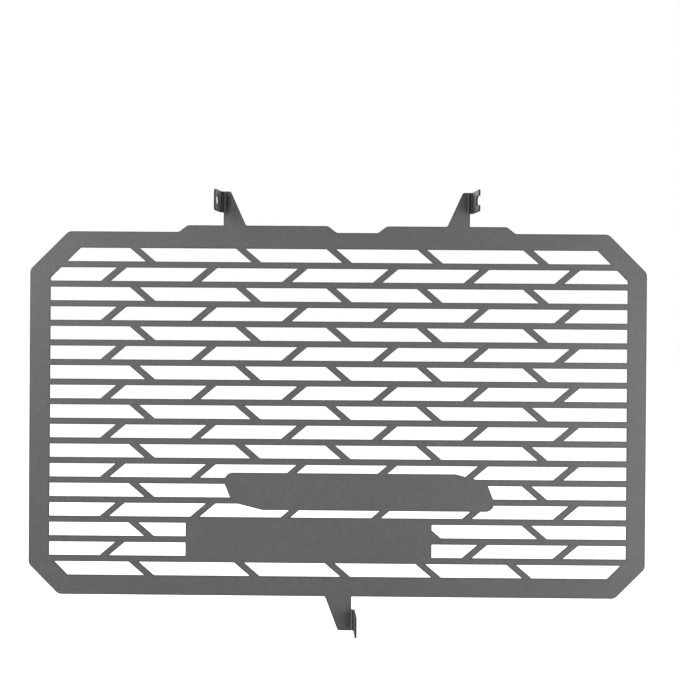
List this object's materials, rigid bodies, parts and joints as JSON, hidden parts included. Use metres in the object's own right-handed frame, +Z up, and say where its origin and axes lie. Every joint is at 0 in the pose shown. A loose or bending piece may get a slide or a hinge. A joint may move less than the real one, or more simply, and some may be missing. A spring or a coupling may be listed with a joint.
{
  "type": "motorcycle radiator guard",
  "caption": "Flat slotted guard that bolts in front of a motorcycle radiator: one powder-coated sheet with chamfered corners, slanted-rib grille, solid panels and folded bracket ears",
  "frame": {"origin": "on the sheet's back face, at the middle of the grille opening, in the middle of the centre rib", "axes": "+X across the guard to its right seen from the side that the ears fold to, +Y out of the flat back, +Z up to the two upper ears"},
  "size_m": [0.3925, 0.0213, 0.279],
  "materials": {
    "powder_coat": "fine-textured matt powder coat, dark grey"
  },
  "bodies": {
    "root": {"guard_panel": "powder_coat"}
  },
  "joints": []
}
